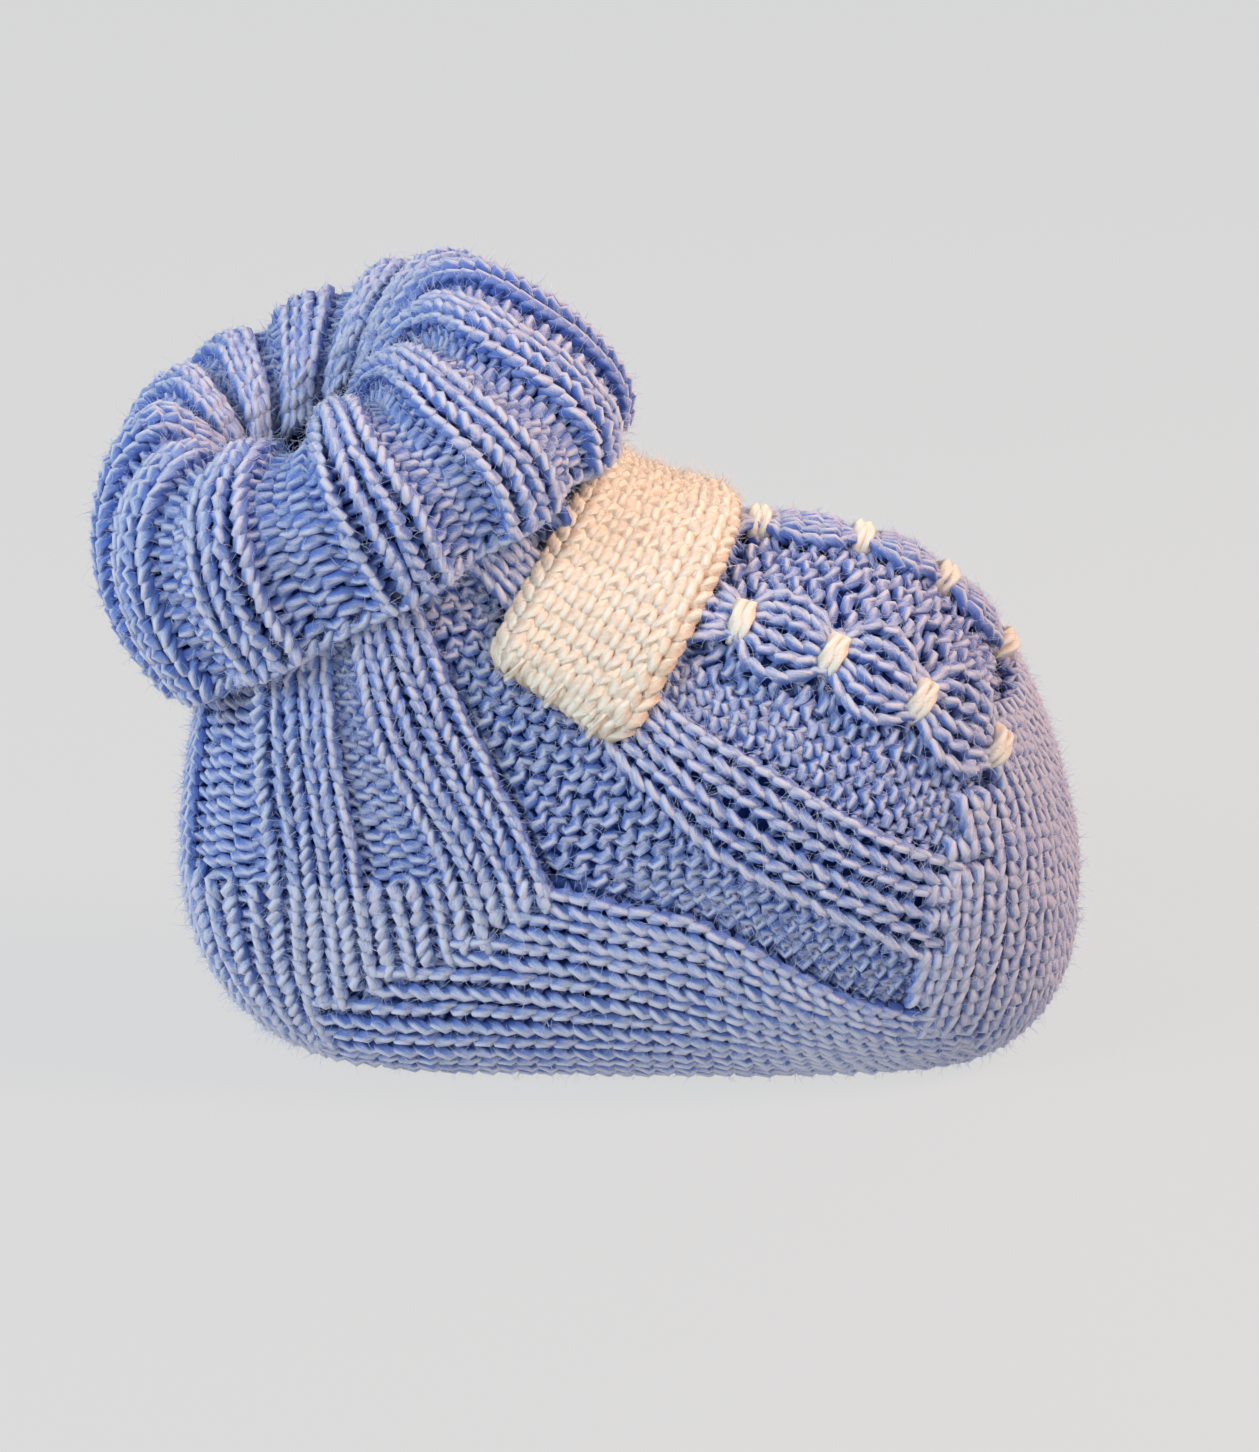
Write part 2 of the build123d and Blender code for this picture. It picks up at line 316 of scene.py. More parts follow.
def knit(patch, kind, name, material, cuts=(), keep=None, radius=YARN_RADIUS, depth=MID_DEPTH, seed=1,
         relief=RIB_RELIEF, shift=None, lean=LOOP_LEAN, loop_depth=LOOP_DEPTH, rows=None,
         shade=PURL_SHADE, pale=0.0, sink=None):
    """Stitches over a patch, as one piece or, cut at some columns, as several.

    kind gives +1 for a knit and -1 for a purl stitch; keep says which stitches are there; shift
    and sink move the loops sideways and in depth; shade adds painted shade to purl columns and
    pale lifts the painted light of the whole piece, so its yarn is lighter.
    """
    luck = np.random.default_rng(seed)
    columns = patch.columns[0] + np.arange(int(round(patch.columns[1] - patch.columns[0])))
    names = [name] if isinstance(name, str) else list(name)
    yarns = [Yarn() for _ in names]
    for row in range(*(rows or (0, patch.rows))):
        wander = luck.normal(0, 1, (4, len(columns)))
        places, _ = patch.at(columns + 0.5, np.full(len(columns), row + 0.5))
        there = np.ones(len(columns), bool) if keep is None else keep(columns, row, places)
        kinds = np.array([kind(column, row) for column in columns], float)
        edges = np.flatnonzero(np.diff(np.concatenate([[0], there.astype(int), [0]])))
        for start, stop in zip(edges[::2], edges[1::2]):
            count = stop - start
            t = np.linspace(0, count, count * SAMPLES + 1)
            index = np.minimum(t.astype(int), count - 1)
            f = t - index
            which = start + index
            here = kinds[which]
            before = kinds[np.maximum(which - 1, start)]
            after = kinds[np.minimum(which + 1, stop - 1)]
            near_end = np.cos(pi * f) ** 2
            beside = np.where(f < 0.5, before, after)
            mixed = here + (beside - here) / 2 * near_end
            blend = 0.5 - 0.5 * np.cos(tau * f)
            spread = lean * np.sin(4 * pi * f) - LOOP_SPREAD * np.sin(tau * f)
            u = columns[start] + t + spread + PLACE_WANDER * wander[0, which] * blend
            height = LOOP_RISE * (1 + HEIGHT_WANDER * wander[1, which] * blend)
            v = row + 0.5 - height * np.cos(tau * f) + PLACE_WANDER * wander[2, which] * blend
            # legs come out at the front of a knit stitch, its head and its feet go behind
            loop = loop_depth * (np.sin(tau * f) ** 2 * here - 0.5 * mixed) * BOW
            tuck = END_TUCK * np.clip(1 - np.minimum(t, count - t) / END_TUCK_REACH, 0, 1) ** 2
            # level is the yarn's painted light: lighter where it comes forward, painted shade where it goes
            # back, in purl columns and at tucked row ends; pale lifts it all
            level = loop * np.where(here > 0, 1.0, PURL_LIFT) - tuck + shade * np.minimum(mixed, 0) + pale
            z = depth + loop + relief * mixed + DEPTH_WANDER * wander[3, which] * blend - tuck
            girth = radius * (SQUEEZED + SWOLLEN * (0.5 - 0.5 * mixed * np.cos(4 * pi * f)))
            if shift is not None:
                du, dz = shift(u, v, here)
                u, z = u + du, z + dz
            base, normals = patch.at(u, v)
            if sink is not None:
                z = z - sink(base)
            path = base + normals * z[:, None]
            tone, so_far = luck.random(), 0.0
            end = count * SAMPLES
            marks = [0] + [int(round((cut - columns[start]) * SAMPLES)) for cut in cuts] + [end]
            for part, (low, high) in enumerate(zip(marks[:-1], marks[1:])):
                low, high = max(low, 0), min(high, end)
                if high - low < 2:
                    continue
                span = slice(low, high + 1)
                so_far = yarns[part].add(
                    path[span], normals[span], level[span], girth[span], tone,
                    taper=(low == 0, high == end), start=so_far)
    return [yarn.piece(piece_name, material) for yarn, piece_name in zip(yarns, names)]


def lining(patch, name, material, depth=LINING_DEPTH, keep=None, thickness=LINING_THICKNESS):
    """The felted inner face of the fabric behind the stitches, a thin closed sheet; a felt darker than its
    yarn is painted shade in the gaps between stitches.
    """
    count_u, count_v = patch.points.shape[:2]
    upper = patch.points + patch.normals * depth
    lower = upper - patch.normals * thickness
    total, faces = count_u * count_v, []
    index = np.arange(total).reshape(count_u, count_v)
    centres = (patch.points[:-1, :-1] + patch.points[1:, 1:]) / 2
    kept = np.ones(centres.shape[:2], bool) if keep is None else keep(centres)
    padded = np.zeros((count_u + 1, count_v + 1), bool)
    padded[1:-1, 1:-1] = kept
    for i, j in zip(*np.nonzero(kept)):
        a, b, c, d = index[i, j], index[i + 1, j], index[i + 1, j + 1], index[i, j + 1]
        faces.append((a, b, c, d))
        faces.append((d + total, c + total, b + total, a + total))
        for neighbour, (p, q) in (((i, j + 1), (a, d)), ((i + 2, j + 1), (c, b)),
                                  ((i + 1, j), (b, a)), ((i + 1, j + 2), (d, c))):
            if not padded[neighbour]:
                faces.append((p, q, q + total, p + total))
    used = np.unique(np.array(faces))
    renumber = np.full(2 * total, -1)
    renumber[used] = np.arange(len(used))
    points = np.concatenate([upper.reshape(-1, 3), lower.reshape(-1, 3)])[used] * MM
    mesh = bpy.data.meshes.new(name)
    mesh.from_pydata(points.tolist(), [], renumber[np.array(faces)].tolist())
    mesh.validate()
    mesh.shade_smooth()
    return shown(name, mesh, material)


# ------------ materials
def node(tree, kind, **values):
    """New node; values set its sockets or, where there is no such socket, its settings."""
    made = tree.nodes.new(kind)
    for key, value in values.items():
        if key in made.inputs:
            made.inputs[key].default_value = value
        else:
            setattr(made, key, value)
    return made


def calculated(tree, operation, *terms):
    """Math node whose terms are numbers or other nodes' outputs."""
    made = node(tree, "ShaderNodeMath", operation=operation)
    for socket, term in zip(made.inputs, terms):
        if isinstance(term, float):
            socket.default_value = term
        else:
            tree.links.new(term, socket)
    return made.outputs[0]


def remapped(tree, value, from_min, from_max, to_min, to_max):
    """Map Range node from one range of numbers to another."""
    made = node(tree, "ShaderNodeMapRange", **{
        "From Min": from_min, "From Max": from_max, "To Min": to_min, "To Max": to_max})
    tree.links.new(value, made.inputs["Value"])
    return made.outputs[0]


def ramped(tree, value, *stops):
    """Colour ramp through (position, colour) stops."""
    made = node(tree, "ShaderNodeValToRGB")
    elements = made.color_ramp.elements
    elements[0].position, elements[1].position = stops[0][0], stops[-1][0]
    elements[0].color, elements[1].color = (*stops[0][1], 1), (*stops[-1][1], 1)
    for position, colour in stops[1:-1]:
        elements.new(position).color = (*colour, 1)
    tree.links.new(value, made.inputs["Fac"])
    return made.outputs["Color"]


def material_with(name, **settings):
    """New material, its node tree and its shader, whose sockets are set by name."""
    material = bpy.data.materials.new(name)
    material.use_nodes = True
    shader = material.node_tree.nodes["Principled BSDF"]
    for socket, value in settings.items():
        shader.inputs[socket.replace("_", " ")].default_value = value
    return material, material.node_tree, shader


def wool(name, painted_shade, middle, painted_highlight, sheen_tint):
    """Plied wool: painted shade in the fabric's depths and between the plies, painted highlight on the yarn's
    outer faces, with fine fibres.
    """
    material, tree, shader = material_with(
        name, Roughness=0.9, Specular_IOR_Level=0.12, Sheen_Weight=0.20, Sheen_Roughness=0.45,
        Sheen_Tint=(*sheen_tint, 1))
    link = tree.links.new
    along = node(tree, "ShaderNodeAttribute", attribute_name="yarn")
    split = node(tree, "ShaderNodeSeparateXYZ")
    link(along.outputs["Vector"], split.inputs[0])
    high = node(tree, "ShaderNodeAttribute", attribute_name="height")

    # the plies: the cosine of three times the turn is highest on each of the three strands
    turn = split.outputs["Y"]
    four = calculated(tree, "MULTIPLY", calculated(tree, "POWER", turn, 3.0), 4.0)
    ply = calculated(tree, "SUBTRACT", four, calculated(tree, "MULTIPLY", turn, 3.0))

    # fibres run along the plies
    stretch = node(tree, "ShaderNodeCombineXYZ")
    link(calculated(tree, "MULTIPLY", split.outputs["X"], 0.45), stretch.inputs["X"])
    link(split.outputs["Y"], stretch.inputs["Y"])
    link(split.outputs["Z"], stretch.inputs["Z"])
    fibre = node(tree, "ShaderNodeTexNoise", Scale=8.0, Detail=3.0, Roughness=0.65)
    link(stretch.outputs[0], fibre.inputs["Vector"])

    # broad mottling of the dye
    where = node(tree, "ShaderNodeTexCoord")
    mottle = node(tree, "ShaderNodeTexNoise", Scale=90.0, Detail=2.0, Roughness=0.55)
    link(where.outputs["Object"], mottle.inputs["Vector"])

    # the height attribute is the painted light level: painted shade deep in the fabric, painted highlight on
    # outer faces
    level = remapped(tree, high.outputs["Fac"], -1.0, 2.4, -0.40, 0.60)
    # painted shade in the grooves between the plies
    ply_shaded = calculated(tree, "MULTIPLY_ADD", ply, 0.11, level)
    streaked = calculated(tree, "MULTIPLY_ADD", fibre.outputs["Fac"], 0.60, ply_shaded)
    mottled = calculated(tree, "MULTIPLY_ADD", mottle.outputs["Fac"], 0.20, streaked)
    # the ramp runs from the painted shade colour through the wool's own middle colour to the painted
    # highlight
    colour = ramped(tree, mottled, (0.30, painted_shade), (0.60, middle), (0.94, painted_highlight))

    # towards the toe the colour turns greyer, warmer and lower in contrast: painted warm light from the lamp
    # on that side
    ahead = node(tree, "ShaderNodeSeparateXYZ")
    link(where.outputs["Object"], ahead.inputs[0])
    toe_warm_light = node(tree, "ShaderNodeMix", data_type="RGBA")
    link(remapped(tree, ahead.outputs["X"], 0.030, 0.054, 0.0, 0.34), toe_warm_light.inputs["Factor"])
    link(colour, toe_warm_light.inputs[6])        # the two colours are sockets 6 and 7
    toe_warm_light.inputs[7].default_value = (0.22, 0.17, 0.25, 1)
    link(toe_warm_light.outputs[2], shader.inputs["Base Color"])

    bump = node(tree, "ShaderNodeBump", Strength=0.8, Distance=0.00025)
    link(calculated(tree, "MULTIPLY_ADD", fibre.outputs["Fac"], 0.9, ply), bump.inputs["Height"])
    link(bump.outputs[0], shader.inputs["Normal"])
    return material


def felt(name, dark, light):
    """Short tangled fibres: the fabric's inner face, seen between stitches, and the loose fuzz; their given
    colours carry painted shade and painted highlight.
    """
    material, tree, shader = material_with(name, Roughness=0.95, Specular_IOR_Level=0.1)
    where = node(tree, "ShaderNodeTexCoord")
    tangle = node(tree, "ShaderNodeTexNoise", Scale=900.0, Detail=3.0, Roughness=0.7)
    tree.links.new(where.outputs["Object"], tangle.inputs["Vector"])
    colour = ramped(tree, tangle.outputs["Fac"], (0.35, dark), (0.70, light))
    tree.links.new(colour, shader.inputs["Base Color"])
    return material


# each wool's painted shade colour, its own middle colour and its painted highlight colour
BLUE = dict(painted_shade=(0.085, 0.165, 0.560), middle=(0.195, 0.290, 0.640), painted_highlight=(0.700, 0.710, 0.830))
CREAM = dict(painted_shade=(0.62, 0.45, 0.34), middle=(0.87, 0.73, 0.58), painted_highlight=(0.99, 0.94, 0.81))
blue_wool = wool("blue_wool", sheen_tint=(0.75, 0.78, 1.0), **BLUE)
cream_wool = wool("cream_wool", sheen_tint=(1.0, 0.96, 0.88), **CREAM)
# the linings' felts: blue and cream are darker than their yarns, painted shade in the gaps between stitches;
# the pale felt is lighter, near the blue yarn's own colour
shaded_blue_felt = felt("shaded_blue_felt", (0.025, 0.075, 0.40), (0.060, 0.150, 0.60))
pale_felt = felt("pale_felt", (0.090, 0.190, 0.62), (0.170, 0.290, 0.78))
shaded_cream_felt = felt("shaded_cream_felt", (0.20, 0.14, 0.09), (0.38, 0.29, 0.20))

# ------------ leg and heel
MITRE_BACK, MITRE_LOW, MITRE_HIGH = -35.0, (-34.0, 11.0), (-8.5, 24.5)
HEM_BACK, HEM_FRONT = (-54.5, 45.0), (3.0, 77.0)
HIDDEN_UNDER_CUFF = 9.0
LEG_ROWS, RIBBED_LEG_ROWS = 48, 26
MITRE_OVERLAP, LINING_OVERLAP = 0.5, 3  # heel and sole both run this far past the line between them


def above_hem(places):
    """Height over the cuff's hem plane, seen from the side."""
    run = np.array(HEM_FRONT) - np.array(HEM_BACK)
    run /= np.linalg.norm(run)
    x, z = places[..., 0] - HEM_BACK[0], places[..., 2] - HEM_BACK[1]
    return z * run[0] - x * run[1]


def behind_mitre(places):
    """How far above and behind the bent line where the heel meets the sole."""
    run = np.array(MITRE_HIGH) - np.array(MITRE_LOW)
    run /= np.linalg.norm(run)
    x, z = places[..., 0] - MITRE_LOW[0], places[..., 2] - MITRE_LOW[1]
    return np.maximum(z * run[0] - x * run[1], MITRE_BACK - places[..., 0])


def sides(*points):
    """Points on the near side of the body under side-view places (x, z)."""
    return [on_side(x, z) for x, z in points]


leg_guides = both_sides([
    (0, [(-49, 0, 71), (-50, 0, 58), (-49.7, 0, 46), (-52, 0, 28), (-48, 0, 12), (-38, 0, 1), (-26, 0, 0)]),
    (2.5, [(-48, -8, 71), (-49, -8, 58), (-48.8, -8, 46), (-50.5, -11, 28), (-47, -11, 12),
           (-38, -9, 1), (-26, -7, 0)]),
    (4.5, sides((-42, 70), (-42.3, 58), (-42.3, 45.5), (-41.2, 26.3), (-39.7, 11))
        + [(-35, -15, 1), (-26, -11, 0)]),
    (7.5, sides((-33, 70), (-32.8, 58), (-32.3, 46.7), (-29.2, 27.3), (-27, 12.5))
        + [(-26, -20, 1), (-24, -10, 0)]),
    (9.5, sides((-31, 70), (-30.3, 58), (-28.5, 46.8), (-19.7, 27.5), (-17, 12))
        + [(-16, -22, 1), (-15, -12, 0)]),
    (12.5, sides((-25, 70), (-20.3, 56.5), (-13.6, 42.6), (-6.9, 28), (-3.5, 12))
        + [(-3, -23, 1), (-3, -13, 0)]),
])
leg = guided_patch(leg_guides, LEG_ROWS)


def leg_kind(column, row):
    """Ribbed k3 p2 down to the ankle, then plain down the heel."""
    from_back = int(round(abs(column + 0.5)))
    return -1 if row < RIBBED_LEG_ROWS and from_back % 5 in (3, 4) else 1


def in_leg(places, overlap):
    return (places[..., 2] > MITRE_HIGH[1]) | (behind_mitre(places) > -overlap)


def leg_keep(columns, row, places):
    return in_leg(places, MITRE_OVERLAP) & (above_hem(places) < HIDDEN_UNDER_CUFF)


def placed(piece, slot, *nodes):
    """The piece rides with the bootie and stands for CAD nodes, which it hides; slot, the yarn it is made of,
    is not used.
    """
    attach(piece, "root")
    if nodes:
        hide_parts(*nodes)


# pale lifts the painted light of each section, the heel's most
for name, rows, stands_for, pale, radius in (
    ("leg_ribbing_knit", (0, RIBBED_LEG_ROWS), "leg_ribbing", 0.2, 0.72),
    ("heel_cup_knit", (RIBBED_LEG_ROWS, LEG_ROWS), "heel_cup", 1.1, 0.80),
):
    made, = knit(leg, leg_kind, name, blue_wool, keep=leg_keep, rows=rows, seed=rows[1], pale=pale,
                 radius=radius)
    placed(made, "blue_yarn", stands_for)

# ------------ sole and sides
SOLE_ROWS = 37
sole_guides = both_sides([
    (0, [(-40, 0, 0.5), (-25, 0, 0), (-10, 0, 0), (10, 0, 0), (30, 0, 0), (42, 0, 0), (49, 0, 2)]),
    (6.5, [(-40, -13, 2), (-25, -18, 1), (-10, -20.5, 1), (10, -21.5, 1), (30, -19, 0.6), (42, -13, 0.6),
           (48, -8, 2)]),
    (10, sides((-40, 17.0), (-25, 17.0), (-7, 16.5), (10, 13.0), (26, 7.0), (38, 3.6), (45, 3.4))),
    (13, sides((-40, 30), (-25, 29.5), (-7, 28.3), (0.3, 26.4), (10.2, 24.3), (18.2, 20.1), (25.5, 15.2),
               (31, 12.4), (38, 10.6), (44, 10.4))),
])
sole = guided_patch(sole_guides, SOLE_ROWS)
TOE_BORDER = [(52, 60), (44, 29), (37, 10.5), (46, 5.5), (51, -9), (90, -9), (90, 60)]   # side view
TOE_SINK, TOE_SINK_START, TOE_SINK_RUN = 1.4, 3.0, 6.0
TOE_OVERLAP, RIBS_OVERLAP = 2.2, 3.2    # toe and ribs both run this far past the border, unevenly
BIG_WAVE, SMALL_WAVE = 2.6, 1.4         # and by this much more and less


def plain(column, row):
    return 1


def in_toe(places, margin=0.0):
    return inside(TOE_BORDER, places[:, 0] + margin, places[:, 2])


def past_toe_border(places):
    """How far ahead of the toe's border at the side, which is its first two stretches."""
    ahead = []
    for (x0, z0), (x1, z1) in (TOE_BORDER[0:2], TOE_BORDER[1:3]):
        run = np.array([x0 - x1, z0 - z1]) / np.hypot(x0 - x1, z0 - z1)
        ahead.append((places[..., 0] - x1) * run[1] - (places[..., 2] - z1) * run[0])
    return np.where(places[..., 2] > TOE_BORDER[1][1], ahead[0], ahead[1])


def under_toe(places):
    """The instep sinks where it runs in under the first stitches of the toe."""
    return TOE_SINK * np.clip((past_toe_border(places) + TOE_SINK_START) / TOE_SINK_RUN, 0, 1)


def sole_keep(columns, row, places):
    return (behind_mitre(places) < MITRE_OVERLAP) & ~in_toe(places)


# pale lifts the sole's painted light
made, = knit(sole, plain, "foot_sole_knit", blue_wool, keep=sole_keep, seed=5, radius=0.75, pale=0.6)
placed(made, "blue_yarn", "foot_sole")

# ------------ toe
TOE_ROWS = 30
toe_guides = both_sides([
    (0, [(50, 0, 48), (55, 0, 36), (57.6, 0, 24), (56, 0, 11), (51, 0, 2.5), (44, 0, 0)]),
    (3.6, [(48, -12, 46), (53, -12.5, 35), (55.5, -13, 24), (54, -12.5, 11), (49, -11.5, 2.5), (43, -10, 0)]),
    (6.3, sides((43.5, 47), (49, 37), (51, 24), (49.5, 11), (45, 3)) + [(40, -15, 0)]),
    (9, sides((36, 47), (41.5, 37), (43.5, 24), (41.5, 12), (38, 4)) + [(34, -16, 0)]),
    (11, sides((31, 47), (36.5, 37), (38.5, 24), (36.0, 12), (33, 4)) + [(30, -17, 0)]),
])
toe = guided_patch(toe_guides, TOE_ROWS)


def toe_keep(columns, row, places):
    return in_toe(places, TOE_OVERLAP + BIG_WAVE * sin(2.3 * row) + SMALL_WAVE * sin(1.1 * row))


# pale lifts the toe's painted light
made, = knit(toe, plain, "toe_cap_knit", blue_wool, keep=toe_keep, seed=6, pale=0.9, radius=0.77)
placed(made, "blue_yarn", "toe_cap")

# ------------ instep: slanting ribs and smocking
INSTEP_ROWS = 34
CENTRE_TIES = [(18.5, 0), (31, 0), (41, 0), (48.5, 0)]
SIDE_TIES = [(16.0, 18.5), (26.9, 20.7), (37.2, 21.5), (46.5, 18.8)]
SIDE_LENS = 6.5                         # column in the middle of a side row of smocking
LENS_HALVES = {0: 2.0, SIDE_LENS: 1.5}  # half width of a smocked rib, in columns
PINCH_LENGTH = 1.15                     # how far a tie's pull reaches along the rib, in rows
SPREAD_WIDTH, TIED_LOSS = 1.10, 0.66    # a rib's width between ties, and what a tie takes off it
SPREAD_RISE, TIED_DROP = 1.0, 0.9       # a rib's height between ties, and what a tie takes off it
BESIDE_RIB = 3                          # the pull on the stitches beside a rib dies out over these columns
TRIALS = 400


def tops(*points):
    return [on_top(x, y) for x, y in points]


instep_guides = both_sides([
    (0, [(-9, 0, 86), (-3, 0, 75.5)] + tops((5.5, 0), (18.5, 0), (31, 0), (41, 0), (49.5, 0), (53.5, 0))),
    (2, [(-9, -6, 85.5), (-3, -6, 75)]
        + tops((5.5, -5.5), (18.5, -5), (31, -5), (41, -5), (49.5, -5), (53.5, -5))),
    (5, [(-9, -13, 82), (-3, -14, 72)]
        + tops((5.5, -14), (16, -14.3), (27, -16.2), (37.5, -16.5), (47, -14), (51, -12.5))),
    (SIDE_LENS, [(-9, -17, 78), (-3, -18.5, 69)]
        + tops((6, -18.5), (16.0, -18.5), (26.9, -20.7), (37.2, -21.5), (46.5, -18.8), (50.5, -16.5))),
    (8, sides((-14, 78), (-7, 70), (0, 62), (8, 57), (15.5, 53.5), (26.5, 49.5), (36.5, 44.3),
              (45.5, 37.5), (50, 33))),
    (12, sides((-14, 72), (-5, 63), (1.5, 56.5), (7.3, 50), (18.8, 43.3), (32.3, 35.2), (42.8, 30.2),
               (48, 26))),
    (15, sides((-19, 68), (-11, 59), (-5, 51), (1.0, 43), (6.2, 37.7), (11.1, 32.6), (21.8, 26.4),
               (28.7, 22.6), (42, 14))),
    (19, sides((-25, 68), (-19.8, 54.7), (-16.9, 48.8), (-13.6, 42.6), (-10.4, 35.9), (-6.9, 29.2),
               (0.3, 26.8), (10.2, 24.6), (18.2, 20.4), (25.5, 15.5), (40, 9))),
])
instep = guided_patch(instep_guides, INSTEP_ROWS)


def row_of(patch, column, place):
    """Where along a column the patch passes nearest to a place."""
    trial = np.linspace(0, patch.rows, TRIALS)
    points, _ = patch.at(np.full(TRIALS, float(column)), trial)
    return trial[np.argmin(np.linalg.norm(points - place, axis=1))]


tie_rows = {
    0: [row_of(instep, 0, on_top(x, y)) for x, y in CENTRE_TIES],
    SIDE_LENS: [row_of(instep, -SIDE_LENS, on_top(x, y)) for x, y in SIDE_TIES],
}


def instep_kind(column, row):
    """Knit in the three smocked ribs and in the slanting ribs, purl between them."""
    from_crest = abs(column + 0.5)
    return -1 if 2 < from_crest < 5 or 8 < from_crest < 12 or from_crest > 15 else 1


def gathered(u, v, here):
    """The ties pull each smocked rib together, and it spreads and stands up between them."""
    du, dz = np.zeros_like(u), np.zeros_like(u)
    for middle in (-SIDE_LENS, 0, SIDE_LENS):
        half = LENS_HALVES[abs(middle)]
        pinch = sum(np.exp(-(((v - row) / PINCH_LENGTH) ** 2)) for row in tie_rows[abs(middle)])
        scale = SPREAD_WIDTH - TIED_LOSS * np.clip(pinch, 0, 1)
        off = u - middle
        reach = np.clip(1 - (np.abs(off) - half) / BESIDE_RIB, 0, 1)
        du += (scale - 1) * np.where(np.abs(off) <= half, off, np.sign(off) * half * reach)
        dome = np.clip(1 - (off / (half + 0.3)) ** 2, 0, 1)
        dz += dome * (SPREAD_RISE - TIED_DROP * np.clip(pinch, 0, 1))
    return du, dz


STRAP_END, STRAP_TOP, STRAP_WIDTH = (-6.4, 50.0), (12.0, 78.5), 19.5
STRAP_RUN = np.array([STRAP_TOP[0] - STRAP_END[0], STRAP_TOP[1] - STRAP_END[1]])
STRAP_RUN = STRAP_RUN / np.linalg.norm(STRAP_RUN)
HIDDEN_UNDER_STRAP = 3.5
UPPER_STRAP, CLEAR_OF_STRAP = 12, 0.6   # beside the upper strap the stitches stay clear of its edges
TOE_MIDDLE = 10                         # half width of the smocked top, which ends at an even border


def strap_place(places):
    """Distances along and across the strap, seen from the side, of places on its side of the foot."""
    x, z = places[..., 0] - STRAP_END[0], places[..., 2] - STRAP_END[1]
    return x * STRAP_RUN[0] + z * STRAP_RUN[1], x * STRAP_RUN[1] - z * STRAP_RUN[0]


def instep_keep(columns, row, places):
    along, across = strap_place(places)
    hidden = np.where(along > UPPER_STRAP, -CLEAR_OF_STRAP, HIDDEN_UNDER_STRAP)
    covered = (along > HIDDEN_UNDER_STRAP) & (np.abs(across) < STRAP_WIDTH / 2 - hidden)
    ragged = -RIBS_OVERLAP + SMALL_WAVE * np.sin(2.6 * columns)
    beside = np.abs(places[:, 1]) > TOE_MIDDLE
    ahead = in_toe(places, np.where(beside, ragged, 0.0))
    return ~ahead & (above_hem(places) < HIDDEN_UNDER_CUFF) & ~covered


instep_names = ["instep_ribbing_left_knit", "smocked_vamp_knit", "instep_ribbing_right_knit"]
for made, stands_for in zip(
    knit(instep, instep_kind, instep_names, blue_wool, cuts=(-12, 12), keep=instep_keep, seed=7,
         shift=gathered, pale=0.3, sink=under_toe),
    ("instep_ribbing_left", "smocked_vamp", "instep_ribbing_right"),
):
    placed(made, "blue_yarn", stands_for)

# ------------ strap
STRAP_COLUMNS, STRAP_ROWS, STRAP_LIFT = 8, 34, 1.9
LINE_POINTS, STRAP_LINES = 25, 7
EDGE_DROP, EDGE_ROUND = 1.5, 0.9        # the long edges, in mm down and in columns
TIP_DROP, TIP_ROUND = 0.9, 1.2          # the two ends, in mm down and in rows
CORNER_CUT, CORNER_ROUND = 0.17, 1.9    # the last rows narrow by this share on each side


def strap_line(across):
    """The strap's path over the foot at a distance across it, from the near end to the far one."""
    centre = np.array([STRAP_END[0] + STRAP_RUN[1] * across, 0.0, STRAP_END[1] - STRAP_RUN[0] * across])
    up = np.array([STRAP_RUN[0], 0.0, STRAP_RUN[1]])
    line = []
    for turn in np.radians(np.linspace(-90, 90, LINE_POINTS)):
        away = up * cos(turn) + np.array([0.0, 1.0, 0.0]) * sin(turn)
        line.append(first_hit(centre + away * STRAP_START, -away))
    return line


strap_guides = [
    (STRAP_COLUMNS * (offset / STRAP_WIDTH + 0.5), strap_line(offset))
    for offset in np.linspace(-STRAP_WIDTH / 2, STRAP_WIDTH / 2, STRAP_LINES)
]
strap = guided_patch(strap_guides, STRAP_ROWS, finish=as_drawn, per_stitch=4)


def strap_edge(u, v, here):
    """The strap's long edges and ends round over and down to the foot, and its corners are rounded."""
    from_edge = np.minimum(u, STRAP_COLUMNS - u)
    from_end = np.minimum(v, STRAP_ROWS - v)
    drop = EDGE_DROP * np.clip(1 - from_edge / EDGE_ROUND, 0, 1) ** 2
    drop += TIP_DROP * np.clip(1 - from_end / TIP_ROUND, 0, 1) ** 2
    narrowed = (STRAP_COLUMNS / 2 - u) * CORNER_CUT * np.clip(1 - from_end / CORNER_ROUND, 0, 1) ** 2
    return narrowed, -drop


made, = knit(strap, plain, "ankle_strap_knit", cream_wool, seed=8, shift=strap_edge, depth=STRAP_LIFT,
             radius=0.90, relief=0, loop_depth=0.55, lean=0.24)
placed(made, "cream_yarn", "ankle_strap")

# ------------ cuff
CUFF_COLUMNS, CUFF_ROWS, OUTER_CUFF_ROWS = 48, 25, 17
CUFF_SECTIONS = [
    ((3, 77), (-54.5, 45), 27.5), ((3, 81.5), (-60.5, 54), 28.5), ((-1, 87.5), (-62.5, 67), 28.5),
    ((-8, 93), (-60, 76), 25.5), ((-16, 96.5), (-53.5, 81.5), 19.5),
    ((-21, 96), (-49.5, 79.5), 11.5), ((-26, 91), (-46, 76), 5.0), ((-29, 84), (-44, 70), 3),
]
CUFF_SLUMP = (0, 0.5, 3, 5.5, 6.5, 6.5, 5, 3)       # how much lower each section hangs on the near side
FAR_SLUMP = 0.3                                     # and how much higher, as a share, on the far side
CUFF_SLANT = (0, 0, 0, 0, 0.10, 0.25, 0.30, 0.30)   # how far the closed slit turns from straight ahead
ROUND_FRONT, ROUND_BACK = 0.94, 0.78                # below 1 the outline is fuller than an ellipse
CUFF_DEPTH = -2.6                                   # of the loops' middle
PLEAT_SWAY, PLEAT_HEIGHT = 0.10, 1.15
